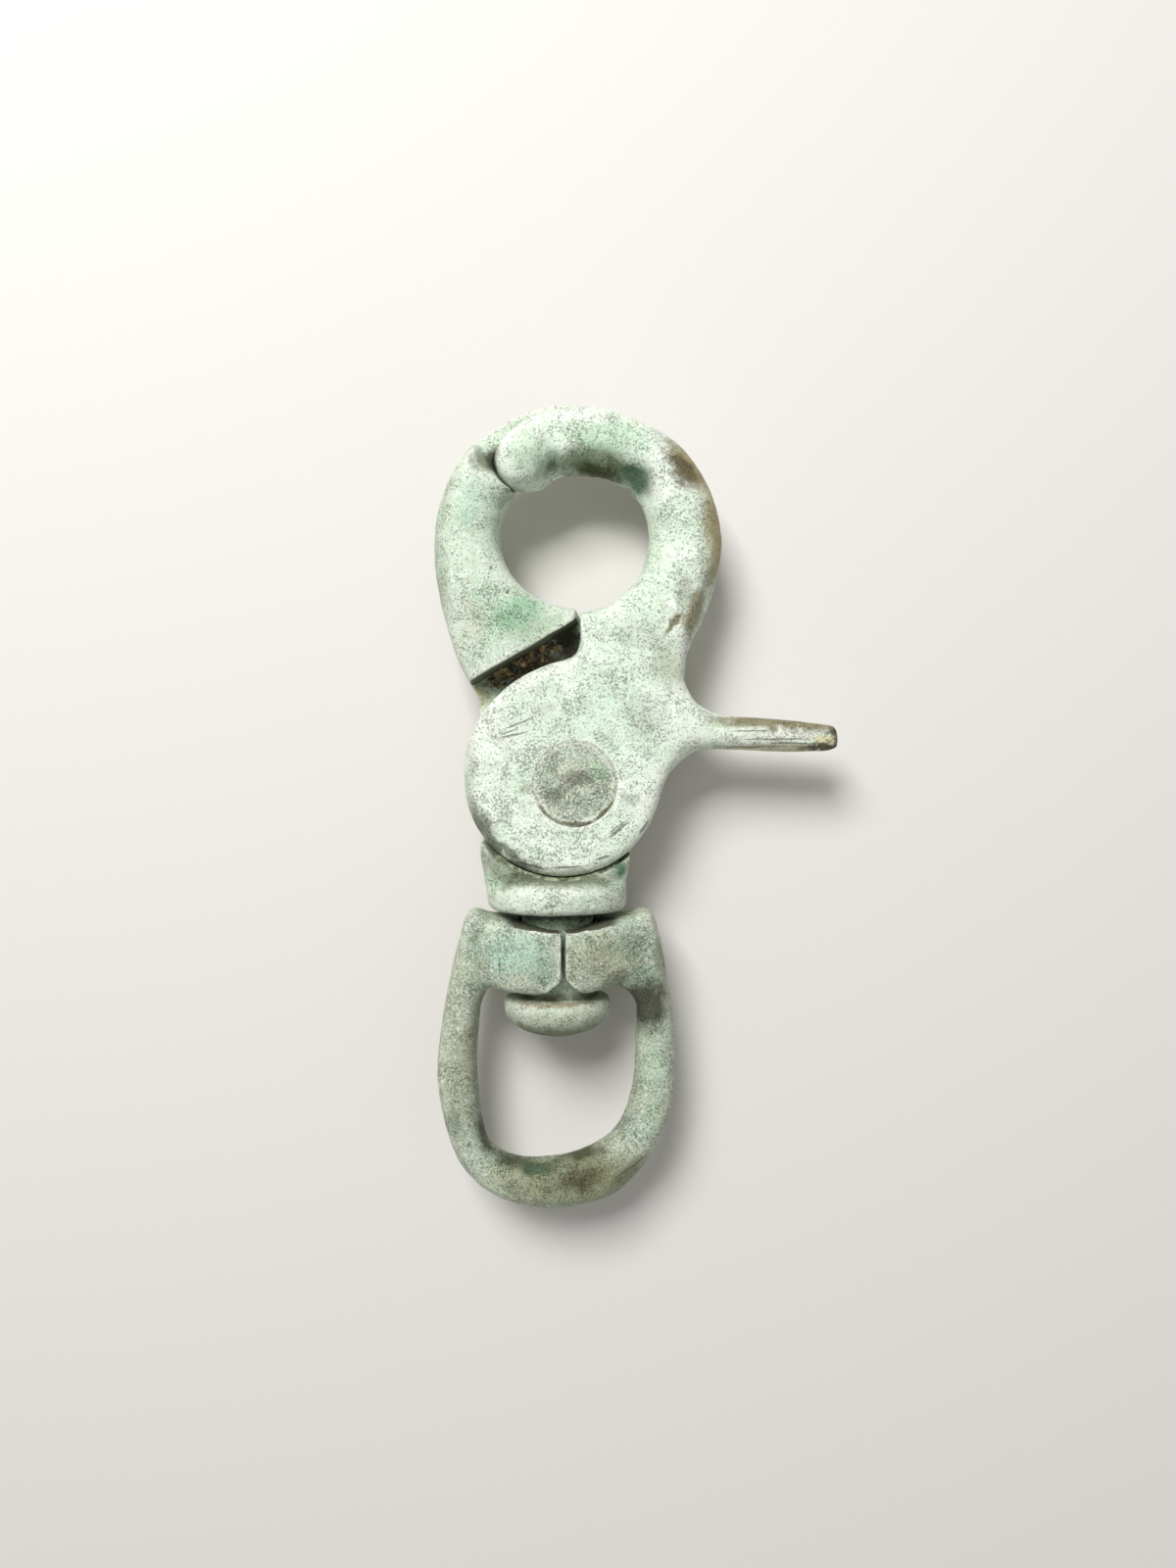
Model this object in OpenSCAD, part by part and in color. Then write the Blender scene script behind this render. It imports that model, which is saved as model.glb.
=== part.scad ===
// Swivel trigger snap: a hook with a swinging jaw and thumb lever, and an eye that turns on its stem.
// Millimetres. Origin at the centre of the hook's opening, in the mid plane; +Y is away from the eye,
// +Z is the side that the jaw lies on, and the thumb lever points to +X.

/* [Hook opening] */
// Radius of the hook's opening
ring_r = 9.15; // [8.4:0.05:10]
// Outer radius of the hook's round back
rim_r = 17.5; // [16.8:0.05:18.4]
// How far the round back's centre lies below the opening's centre
rim_drop = 1.1; // [0.6:0.05:1.5]
// Distance from the pivot to the opening's centre
ring_y = 30.2; // [29.6:0.05:31]
// Thickness of the hook across its flat sides
thick = 9; // [8:0.1:10]
// Spread of the hook's left side towards its shoulder
flare = 0.6; // [0.3:0.05:0.9]
// Angle at which the thin fixed tip ends
tip_angle = 43; // [42:1:54]
// Gap between the two lapped halves
lap = 0.3; // [0.1:0.05:0.6]

/* [Shoulder and neck] */
// Height of the shoulder's edge over the pivot, square to the edge
shoulder = 16.9; // [16.4:0.1:18]
// Slope of the shoulder's edge
shoulder_slope = 30; // [26:1:33]
// Radius of the rear plate round the pivot
plate_r = 10.2; // [9.4:0.1:10.4]
// Half width of the neck at its top
neck_w = 9.3; // [8.7:0.1:9.6]

/* [Swivel] */
// Sideways place of the swivel axis from the pivot
axis_x = -2.2; // [-2.8:0.1:-1.6]
// Radius of the collar
collar_r = 8.6; // [8.2:0.1:9.4]
// Height of the collar
collar_h = 3.4; // [2.8:0.1:3.8]
// Radius of the stem
stem_r = 4.4; // [3.6:0.1:4.6]
// Radius of the button head
head_r = 6.6; // [5.8:0.1:7]
// Height of the button head
head_h = 5; // [4:0.1:5.4]

/* [Jaw] */
// Radius of the jaw's pivot disc
disc_r = 11.9; // [11.4:0.1:12.1]
// Rounding of the disc's edge
disc_edge = 1.4; // [0.8:0.1:1.8]
// Gap between the disc and its seat in the neck
seat_gap = 0.45; // [0.35:0.05:0.8]
// How far the nose bulges into the opening
nose_bulge = 1.8; // [1:0.1:2.4]
// How far the nose's back stays inside the hook's round back
nose_step = 0.8; // [0.3:0.1:1.2]
// Reach of the thumb lever from the pivot
lever_x = 32; // [29:0.2:35]
// Width of the thumb lever at its tip
lever_w = 3.3; // [2.6:0.1:4]
// Half thickness of the thumb lever
lever_t = 2.6; // [2:0.1:3.4]

/* [Rivet and spring] */
// Radius of the rivet's front head
rivet_r = 4.95; // [4.4:0.05:5.2]
// Radius of the rivet's shank
shank_r = 2.8; // [2.4:0.05:3]
// Running clearance round the rivet
run = 0.07; // [0.03:0.01:0.1]
// Wire radius of the torsion spring
wire_r = 0.5; // [0.35:0.05:0.6]
// Coil radius of the torsion spring, to the wire's centre
coil_r = 4.7; // [4.3:0.1:5]

/* [Eye] */
// Radius of the eye's barrel round the stem
barrel_r = 7.9; // [7.5:0.1:8.4]
// Clearance between the barrel's bore and the stem
stem_gap = 0.4; // [0.25:0.05:0.7]
// Play between the barrel and the collar, and between it and the head
end_gap = 0.7; // [0.4:0.05:1]
// Height of the barrel
barrel_h = 9; // [8:0.1:10]
// Half width of the eye's window
window_w = 9.65; // [8.8:0.05:10.4]
// Distance from the pivot to the window's lower edge
window_y = 45.6; // [44:0.1:47.5]
// Width of the eye's side bars
bar_w = 4.85; // [4.2:0.05:5.4]
// Half thickness of the eye's bars
bar_t = 3; // [2.5:0.1:3.6]
// Width of the eye's lower bar
foot_w = 6.3; // [5.6:0.1:7]
// How far the barrel's front dips towards its split
dip = 1.1; // [0.5:0.1:1.5]
// Width of the split down the front of the barrel
split_w = 0.5; // [0.2:0.05:0.8]

/* [Node] */
// Which node to show

/* [Hidden] */
$fn = 48;
half = thick / 2;
split = lap / 2;
// Height of the jaw's flat face
face_z = half;
// Height of the jaw's arm, just below the flat face
arm_z = half - 0.15;
rim_x = 0.1;
opening = [0, ring_y];
disc_c = [-1.5, 0.7];
// The jaw's full thickness starts outside this radius, clear of the rear plate
jaw_clear = plate_r + 0.5;
collar_y = -12;
stem_y = collar_y - collar_h;
barrel_y = stem_y - end_gap;
head_y = barrel_y - barrel_h - end_gap;
pocket_r = coil_r + wire_r + 0.8;
pocket_z = 2.3;
leg_r = pocket_r + 1.9;

function dir(a) = [cos(a), sin(a)];
function mix(a, b, t) = a + (b - a) * t;
function unit(v) = v / norm(v);
function part_of(v, a, b) = max(0, min(1, (v - a) / (b - a)));
function soft(v, p) = sign(v) * pow(abs(v), p);
function mean(v) = [for (p = v) 1] * v / len(v);

// A section from edge point p to edge point q: centre height z, half thickness t, squareness n, m points
function section(p, q, z, t, n, m) = let (c = (p + q) / 2, h = (q - p) / 2)
    [for (k = [0:m - 1]) let (a = 360 * k / m, x = soft(cos(a), 2 / n))
        [c.x + h.x * x, c.y + h.y * x, z + t * soft(sin(a), 2 / n)]];
// Rows of [px, py, qx, qy, z, t, n] as sections
function sections(rows, m) = [for (r = rows) section([r[0], r[1]], [r[2], r[3]], r[4], r[5], r[6], m)];
// A smooth curve through the rows, s steps to each
function curve(a, b, c, d, t) = 0.5 * (2 * b + (c - a) * t + (2 * a - 5 * b + 4 * c - d) * t * t
    + (3 * b - a - 3 * c + d) * t * t * t);
function smooth(v, s) = [for (i = [0:len(v) - 2], k = [0:s - 1])
    curve(v[max(i - 1, 0)], v[i], v[i + 1], v[min(i + 2, len(v) - 1)], k / s), v[len(v) - 1]];
// An arc that rounds corner b between a and c
function corner(a, b, c, r, k) = let (u = unit(a - b), v = unit(c - b), h = acos(u * v) / 2,
        o = b + unit(u + v) * r / sin(h), s = b + u * r / tan(h), e = b + v * r / tan(h))
    [for (i = [0:k]) o + r * unit(mix(s, e, i / k) - o)];
// An outline from rows of [x, y, corner radius]
function outline(v, k) = let (n = len(v), p = [for (c = v) [c.x, c.y]])
    [for (i = [0:n - 1]) each v[i][2] > 0 ? corner(p[(i + n - 1) % n], p[i], p[(i + 1) % n], v[i][2], k) : [p[i]]];
// The same outline moved inwards by d
function inset(p, d) = let (n = len(p)) [for (i = [0:n - 1])
    let (t = unit(p[(i + 1) % n] - p[(i + n - 1) % n])) p[i] + d * [-t.y, t.x]];

// Skins a list of sections with closed ends, which fan out from c if it is given
module skin(r, c) {
    n = len(r);
    m = len(r[0]);
    ends = c == undef ? [mean(r[0]), mean(r[n - 1])] : [[c.x, c.y, r[0][0].z], [c.x, c.y, r[n - 1][0].z]];
    polyhedron(points = [for (s = r) each s, ends[0], ends[1]], faces = [
        for (i = [0:n - 2], j = [0:m - 1]) let (a = i * m + j, b = i * m + (j + 1) % m)
            each [[a, b, a + m], [b, b + m, a + m]],
        for (j = [0:m - 1]) let (k = (j + 1) % m)
            each [[n * m, k, j], [n * m + 1, (n - 1) * m + j, (n - 1) * m + k]]], convexity = 8);
}

// A plate on an outline, with levels of [inset, height] from the top down; all of it is in sight of c
module plate(p, levels, c) skin([for (l = levels) [for (q = inset(p, l[0])) [q.x, q.y, l[1]]]], c);

module place() translate([0, -ring_y, 0]) children();
// A solid turned about the swivel axis, from points of [radius, y]
module turned(p) translate([axis_x, 0, 0]) rotate([-90, 0, 0]) rotate_extrude() polygon([for (q = p) [q.x, q.y]]);
function bend(c, r, a, b) = [for (k = [0:5]) c + r * dir(mix(a, b, k / 5))];

// Distance from the opening's centre to the round back, in direction a
function rim(a) = let (d = [-rim_x, rim_drop] * dir(a))
    sqrt(d * d - rim_x * rim_x - rim_drop * rim_drop + rim_r * rim_r) - d;
function back_reach(a) = rim(a) + flare * pow(max(0, a - 200) / 10, 1.53) + lookup(a, [[46, -0.1], [60, -0.3],
        [76, -0.35], [86, 0], [97, 0.25], [120, 0.35], [150, 0.18], [165, 0], [186, -0.1], [200, 0.2], [214, 0.05],
        [228, -0.12], [240, -0.2]]);
function back_inner(a) = ring_r + lookup(a, [[46, -0.55], [62, -0.6], [90, -0.3], [120, 0], [150, 0.15], [170, 0.1],
        [188, 0], [204, -0.14], [228, -0.26], [250, -0.35], [264, -0.48], [272, -0.5]]);
function jaw_reach(a) = rim(a) + lookup(a, [[-87, 3.6], [-70, 5.2], [-60, 6.8], [-54, 4], [-48, 1.6],
        [-42, 0.9], [-36, 0.55], [-26, 0.38], [-16, 0.1], [-9, 0.3], [0, 0.45], [12, 0.35], [36, 0.2], [48, 0],
        [60, -0.35], [68, -0.5], [76, -0.3], [85, -0.45], [96, -nose_step], [113, -nose_step],
        [126, -nose_step - 0.75], [133.5, -nose_step - 1.5], [137, -nose_step - 2.2], [140.5, -nose_step - 3.5],
        [142.4, -nose_step - 4.8]]);
function jaw_inner(a) = ring_r + lookup(a, [[-87, 0.22], [-60, 0.22], [-48, 0], [-30, -0.05], [-15, -0.18],
        [0, -0.1], [28, -0.05], [38, -0.05]]) - nose_bulge * lookup(a, [[28, 0], [38, 0.08], [50, 0.36], [69, 0.76],
        [87, 0.98], [101, 1], [117, 1.1], [124, 1.16], [133, 0.86], [138, 0.5], [141, 0.12], [142.4, -0.35]]);
function arm_row(a, near, far, t, n) = [near * cos(a), ring_y + near * sin(a), far * cos(a), ring_y + far * sin(a),
    0, t, n];

module hook_arm() skin(sections(concat(
    [for (k = [[0, 0.5], [0.8, 0.75], [2.5, 0.93]]) let (a = tip_angle + k[0], m = (back_inner(a) + back_reach(a)) / 2,
            h = k[1] * (back_reach(a) - back_inner(a)) / 2) arm_row(a, m - h, m + h, half * k[1], 2.4)],
    [for (a = [tip_angle + 7 : (272 - tip_angle - 7) / 36 : 272.01]) arm_row(a, back_inner(a), back_reach(a),
        half - 0.1 * part_of(a, 200, 230), mix(2.3, 4.6, part_of(a, 190, 235)))]), 20));

// Everything in front of the rear half, below the shoulder's edge
module shoulder_cut() translate([0, 0, -split]) linear_extrude(thick) rotate(shoulder_slope)
    translate([-30, -30]) square([45, 30 + shoulder]);
// Everything in front of the thin fixed tip
module tip_cut() translate([0, 0, -split]) linear_extrude(thick) polygon([opening + 5 * dir(140),
    opening + 9.3 * dir(143.8), opening + 11.4 * dir(146), opening + 13.2 * dir(145.2), opening + 15 * dir(142.2),
    opening + 16.4 * dir(137.6), opening + 20 * dir(136), opening + [0, 30], opening + [30, 10], opening + [10, -5]]);
module rear_plate() plate(outline([[axis_x + collar_r - 0.8, -13.4, 1.6], [axis_x + neck_w - 0.3, -7.6, 1.6],
        each [for (a = [-36, -18, 0, 18, 36]) [plate_r * cos(a), plate_r * sin(a), 0]],
        [plate_r * cos(50), plate_r * sin(50), 4], [1.5, 20.4, 1.6], [-4, 19.4, 2], [-11.8, 14, 2], [-11.8, 9.4, 4],
        [axis_x - neck_w, 0, 8], [axis_x - neck_w, -7.8, 2], [axis_x - collar_r + 0.6, -13.4, 1.6]], 4),
        concat([[0, -split]],
        [for (k = [0:4]) let (a = 22.5 * k) [1.3 * (1 - cos(a)), -half + 1.3 * (1 - sin(a))]]), [-2, 5]);
module neck() skin(sections([for (r = [[-13.6, collar_r - 0.1, half], [-11.9, collar_r + 0.1, half],
        [-10.4, mix(collar_r, neck_w, 0.6), half - 0.05], [-8.4, neck_w, half - 0.1],
        [-7, neck_w - 0.1, half - 0.15], [-5, neck_w - 0.6, half - 0.6]])
    [axis_x - r[1] - 0.1, r[0], axis_x + r[1] - 0.25, r[0], 0, r[2], 5]], 24));
module swivel() turned([[0, collar_y + 0.6], [collar_r - 2.2, collar_y + 0.6],
    each bend([collar_r - 1, collar_y - 1], 1, 80, 0), each bend([collar_r - 1, stem_y + 1], 1, 0, -85),
    [stem_r + 0.5, stem_y], [stem_r, stem_y - 0.4], [stem_r, head_y + 0.3], [stem_r + 0.3, head_y],
    each bend([head_r - 0.7, head_y - 0.7], 0.7, 85, 0),
    each [for (k = [0:7]) [head_r * cos(12.5 * k), head_y - 1.4 - (head_h - 1.4) * sin(12.5 * k)]],
    [0, head_y - head_h]]);

module hook_body() color("DarkSeaGreen") place() difference() {
    union() {
        difference() {
            hook_arm();
            shoulder_cut();
            tip_cut();
        }
        rear_plate();
        neck();
        swivel();
    }
    translate([disc_c.x, disc_c.y, -split]) cylinder(r = disc_r + seat_gap, h = thick + 6);
    translate([0, 0, -thick]) cylinder(r = shank_r + 0.02, h = 2 * thick);
    translate([0, 0, -thick]) cylinder(r = shank_r + 1.6, h = thick - half + 0.9);
    translate([0, 0, -pocket_z]) cylinder(r = pocket_r, h = thick);
    translate([0, -wire_r - 0.1, -pocket_z]) cube([leg_r, 2 * wire_r + 0.2, thick]);
}

module jaw_arm() skin(sections([for (a = concat([for (k = [0:38]) 5.7 * k - 86.5], [133.6, 136.6, 139.2, 141.2, 142.4]))
    arm_row(a, jaw_inner(a), jaw_reach(a),
        arm_z * lookup(a, [[130, 1], [135, 0.97], [139, 0.9], [141.2, 0.78], [142.4, 0.6]]),
        lookup(a, [[-60, 5], [-40, 3], [-25, 2.5], [90, 2.3]]))], 20));
module jaw_plate() plate(concat([for (a = [180:9:333]) disc_c + disc_r * dir(a)],
    outline([[10.1, -2.2, 0], [10.9, 0.4, 0], [11.8, 2.2, 0], [12.4, 4.4, 0], [12, 9, 3], [10, 14.5, 3], [6, 18.5, 2],
        [0.85, 19.7, 1.6], [0.4, 15.2, 2], [-2.6, 14.6, 0]], 3),
    [for (a = [106:7:169]) mix(14.7, disc_r + 1.6, part_of(a, 100, 178)) * dir(a)]),
    concat([for (k = [0:4]) let (a = 90 - 22.5 * k) [disc_edge * (1 - cos(a)), face_z - disc_edge * (1 - sin(a))]],
        [[0, split]]), [4, 7]);
module lever() skin(sections(smooth([
    [lever_x, 4.5, lever_x - 0.2, 3.9 + lever_w - 0.3, 0.6, lever_t * 0.62, 2.6],
    [lever_x - 0.5, 4.1, lever_x - 0.8, 3.95 + lever_w, 0.6, lever_t * 0.8, 3],
    [lever_x - 3, 3.95, lever_x - 3, 4.2 + lever_w, 0.6, lever_t * 0.87, 3],
    [24, 3.95, 24, 8, 0.6, lever_t, 3], [19, 4.15, 18.9, 8.3, 0.55, lever_t * 1.1, 3],
    [16.6, 4.2, 16.4, 8.95, 0.5, lever_t * 1.2, 3], [14.5, 3.9, 14.5, 10.1, 0.3, mix(lever_t, half, 0.55), 3.2],
    [12.9, 2.8, 13.4, 12.2, 0.1, arm_z - 0.3, 3.6], [11.3, 1.2, 12.2, 14, 0, arm_z - 0.07, 4],
    [9, 2, 9, 12.6, 0, arm_z - 0.4, 4]], 2), 16));
// Everything behind the jaw's front half, where the rear plate and the thin fixed tip lie
module jaw_cut() translate([0, 0, split - thick]) {
    cylinder(r = jaw_clear, h = thick);
    linear_extrude(thick) polygon([[2, 24], [jaw_clear * cos(47), jaw_clear * sin(47)], [0, 0], [-18, 0], [-18, 24]]);
    linear_extrude(thick) polygon([opening, opening + 30 * dir(tip_angle - 3), opening + [20, 40], opening + [-30, 40],
        opening + [-30, 0]]);
}

module trigger_jaw() color("LightGray") place() difference() {
    union() {
        jaw_arm();
        jaw_plate();
        lever();
    }
    jaw_cut();
    translate([0, 0, -thick]) cylinder(r = shank_r + run, h = 2 * thick);
    translate([0, 0, face_z - 1.15]) cylinder(r = rivet_r + run, h = thick);
    translate([0, 0, -1]) cylinder(r = pocket_r, h = 1 + pocket_z);
    rotate(82) rotate_extrude(angle = 54) translate([pocket_r - 1, split - 1])
        square([leg_r - pocket_r + 1, pocket_z - split + 1]);
}

module pivot_rivet() color("Tan") place() rotate_extrude() polygon(concat(
    [[0, -half - 0.15], [shank_r * 0.7, -half - 0.15], [shank_r + 1.4, -half + 0.25], [shank_r + 1.5, -half + 0.85],
        [shank_r, -half + 0.9], [shank_r, face_z - 1.1], [rivet_r, face_z - 1.1], [rivet_r, face_z + 0.05],
        [rivet_r - 0.25, face_z + 0.2], [rivet_r - 0.6, face_z + 0.05]],
    [for (k = [0:5]) let (x = (rivet_r - 0.8) * (1 - k / 5)) [x, face_z + 0.05 + 0.25 * (1 - pow(x / rivet_r, 2))]]));

module torsion_spring() color("DimGray") place() {
    turns = 2.25;
    rise = (2 * pocket_z - 2 * wire_r - 0.7) / turns;
    skin([for (k = [0:16 * turns]) let (a = 22.5 * k, z = rise * (a / 360 - turns / 2))
        [for (j = [0:7]) let (r = coil_r + wire_r * cos(45 * j))
            [r * cos(a), r * sin(a), z + wire_r * sin(45 * j)]]]);
    for (e = [-1, 1]) rotate(e > 0 ? 90 : 0) translate([coil_r, 0, e * rise * turns / 2])
        rotate([0, 90, 0]) cylinder(r = wire_r, h = leg_r - coil_r - 0.4);
}

// Rows of [px, py, qx, qy] down each side of the eye, from the axis outwards: the lower end is a little askew
function eye_top(x) = [[6, barrel_y - barrel_h + 0.9, 6, barrel_y - 0.9],
    [7.6, barrel_y - barrel_h + 0.6, 8.5 + x / 2, barrel_y + 0.2],
    [window_w - 1, barrel_y - barrel_h - 0.2, 10.7 + x, barrel_y + 0.8]];
function eye_left(w, o, y, f) = concat(eye_top(0), [[w - 0.3, -26.8, o - 2.4, -19.3], [w - 0.05, -29.2, o - 1.2, -24.1],
    [w + 0.1, -32.6, o - 0.15, -30], [w + 0.1, -36, o + 0.25, -35.9], [w - 0.3, -39.6, o - 0.4, -40.6],
    [w - 0.65, 3.3 - y, o - 1.55, 1.5 - y], [w - 1.55, 1.2 - y, o - 3.2, -1.6 - y], [5.9, -0.1 - y, 8.3, 2 - y - f],
    [3.2, -0.5 - y, 4.4, 0.5 - y - f], [0, -0.25 - y, 0.5, -0.05 - y - f]]);
function eye_right(w, o, y, f) = concat(eye_top(0.6), [[w + 0.05, -26.9, o - 1.75, -19.4],
    [w - 0.05, -29.2, o - 0.95, -24.1], [w - 0.15, -32.6, o - 0.15, -30], [w - 0.35, -36, o, -35.9],
    [w - 0.95, -39, o - 0.7, -40.6], [w - 2.25, 3.7 - y, o - 2.2, 1 - y], [5.6, 1.9 - y, 9.7, -2.4 - y],
    [2.9, 0.55 - y, 6.3, 1.3 - y - f]]);
module eye_loop() {
    o = window_w + bar_w;
    left = eye_left(window_w, o, window_y, foot_w);
    right = eye_right(window_w, o, window_y, foot_w);
    rows = concat([for (r = left) [-r[0], r[1], -r[2], r[3]]], [for (i = [len(right) - 1:-1:0]) right[i]]);
    skin(sections([for (r = smooth(rows, 3)) [axis_x + r[0], r[1], axis_x + r[2], r[3], 0,
        bar_t * lookup(r[1], [[-46, 1.1], [-38, 1], [-33, 1], [-29.2, 1.1], [-26.8, 1.26], [-25.3, 1.44], [-24.3, 1.66]]),
        2.3 + 1.5 * part_of(r[1], -30, -25)]], 16));
}

// The barrel: an arch from one side bar to the other, as rows of [x, rise of its lower edge and of its upper edge,
// thickness], x and thickness as parts of the whole
module barrel() {
    side = [[0, 0, 0, 1], [0.22, 0.05, 0, 0.975], [0.44, 0.2, 0, 0.9], [0.64, 0.5, 0.1, 0.77], [0.8, 0.85, 0.15, 0.62],
        [0.91, 1.3, 0, 0.45], [0.97, 2, -0.7, 0.28]];
    rows = concat([for (i = [len(side) - 1:-1:1]) [-side[i][0], side[i][1], side[i][2], side[i][3]]],
        [for (r = side) [r[0], r[1] + 1.1 * part_of(r[0], 0.3, 0.8), r[2], r[3]]]);
    skin(sections([for (r = rows) let (x = axis_x + r[0] * (window_w + 1.75), n = 7 - 3 * abs(r[0]))
        [x, barrel_y + r[2], x, barrel_y - barrel_h + r[1], 0, barrel_r * r[3], n]], 24));
}

module swivel_eye() color("Silver") place() difference() {
    union() {
        eye_loop();
        barrel();
    }
    translate([axis_x, barrel_y + 1, 0]) rotate([90, 0, 0]) cylinder(r = stem_r + stem_gap, h = barrel_h + 2);
    translate([axis_x, barrel_y, 0.1]) linear_extrude(12) polygon([[-6.6, 0], [-1, -dip], [2.6, -dip], [6.8, 0], [6.8, 3],
        [-6.6, 3]]);
    translate([axis_x, barrel_y - barrel_h - 1, 0]) rotate([0, 7, 0]) translate([-split_w / 2, 0, 0])
        cube([split_w, barrel_h + 2, 12]);
    translate([axis_x, barrel_y - barrel_h, 0]) rotate([0, 7, 0]) linear_extrude(12)
        polygon([[-split_w / 2 - 2.6, -0.1], [0, 2.5], [split_w / 2 + 2.6, -0.1]]);
}

hook_body();
trigger_jaw();
pivot_rivet();
torsion_spring();
swivel_eye();
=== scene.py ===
"""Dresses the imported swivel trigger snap: rough cast bronze under a pale weathered patina."""
import math
import random

import bmesh
import bpy
import numpy as np
from mathutils import Matrix, Vector, noise
from mathutils.bvhtree import BVHTree


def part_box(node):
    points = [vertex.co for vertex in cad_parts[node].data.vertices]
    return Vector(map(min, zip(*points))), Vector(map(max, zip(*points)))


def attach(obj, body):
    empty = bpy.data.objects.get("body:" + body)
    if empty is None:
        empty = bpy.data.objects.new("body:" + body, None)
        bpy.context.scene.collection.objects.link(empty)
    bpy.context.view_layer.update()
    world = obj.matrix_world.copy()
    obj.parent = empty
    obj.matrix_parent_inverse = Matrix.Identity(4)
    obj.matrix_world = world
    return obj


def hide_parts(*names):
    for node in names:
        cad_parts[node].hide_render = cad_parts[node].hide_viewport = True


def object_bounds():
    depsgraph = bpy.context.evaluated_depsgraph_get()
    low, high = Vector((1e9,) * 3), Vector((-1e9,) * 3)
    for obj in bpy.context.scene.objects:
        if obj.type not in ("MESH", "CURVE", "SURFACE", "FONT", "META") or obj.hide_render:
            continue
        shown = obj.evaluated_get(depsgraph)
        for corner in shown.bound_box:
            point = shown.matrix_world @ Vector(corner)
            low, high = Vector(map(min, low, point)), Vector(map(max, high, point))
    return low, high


MM = 0.001
PIVOT_Y = -30.2     # the rivet's axis, mm
JOINT_REACH = 0.9   # how near to the other casting dirt gathers and shade is painted, mm
NOSE_GAP = 0.3      # between the jaw's nose and the slope that runs down to it, mm

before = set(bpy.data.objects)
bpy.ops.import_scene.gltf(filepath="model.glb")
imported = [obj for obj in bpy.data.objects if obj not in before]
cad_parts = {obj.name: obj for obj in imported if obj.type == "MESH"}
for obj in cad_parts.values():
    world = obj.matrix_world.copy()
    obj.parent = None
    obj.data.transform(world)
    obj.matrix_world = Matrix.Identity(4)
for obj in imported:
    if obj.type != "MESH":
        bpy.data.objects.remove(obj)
cad_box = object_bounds()
scene = bpy.context.scene


# ---- shapes: each casting is the CAD solid on a fine even mesh, which can round, pit and wear ----

def place(bm, name):
    """Puts a finished bmesh into the scene as a piece."""
    mesh = bpy.data.meshes.new(name)
    bm.to_mesh(mesh)
    bm.free()
    piece = bpy.data.objects.new(name, mesh)
    scene.collection.objects.link(piece)
    return piece


def recast(node, grain, fillet=None):
    """A CAD node as an even mesh with softened edges, as a sand mould leaves them. Grain is in mm. A fillet
    adds its own solids first."""
    bm = bmesh.new()
    bm.from_mesh(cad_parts[node].data)
    bmesh.ops.remove_doubles(bm, verts=bm.verts, dist=0.001 * MM)
    if fillet:
        fillet(bm)
    piece = place(bm, node + "_cast")
    remesh = piece.modifiers.new("grain", "REMESH")
    remesh.mode = "VOXEL"
    remesh.voxel_size = grain * MM
    rounding = piece.modifiers.new("rounding", "SMOOTH")
    rounding.factor = 0.5
    rounding.iterations = 2
    graph = bpy.context.evaluated_depsgraph_get()
    cast = bpy.data.meshes.new_from_object(piece.evaluated_get(graph))
    piece.modifiers.clear()
    piece.data = cast
    cast.polygons.foreach_set("use_smooth", [True] * len(cast.polygons))
    return piece


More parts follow.
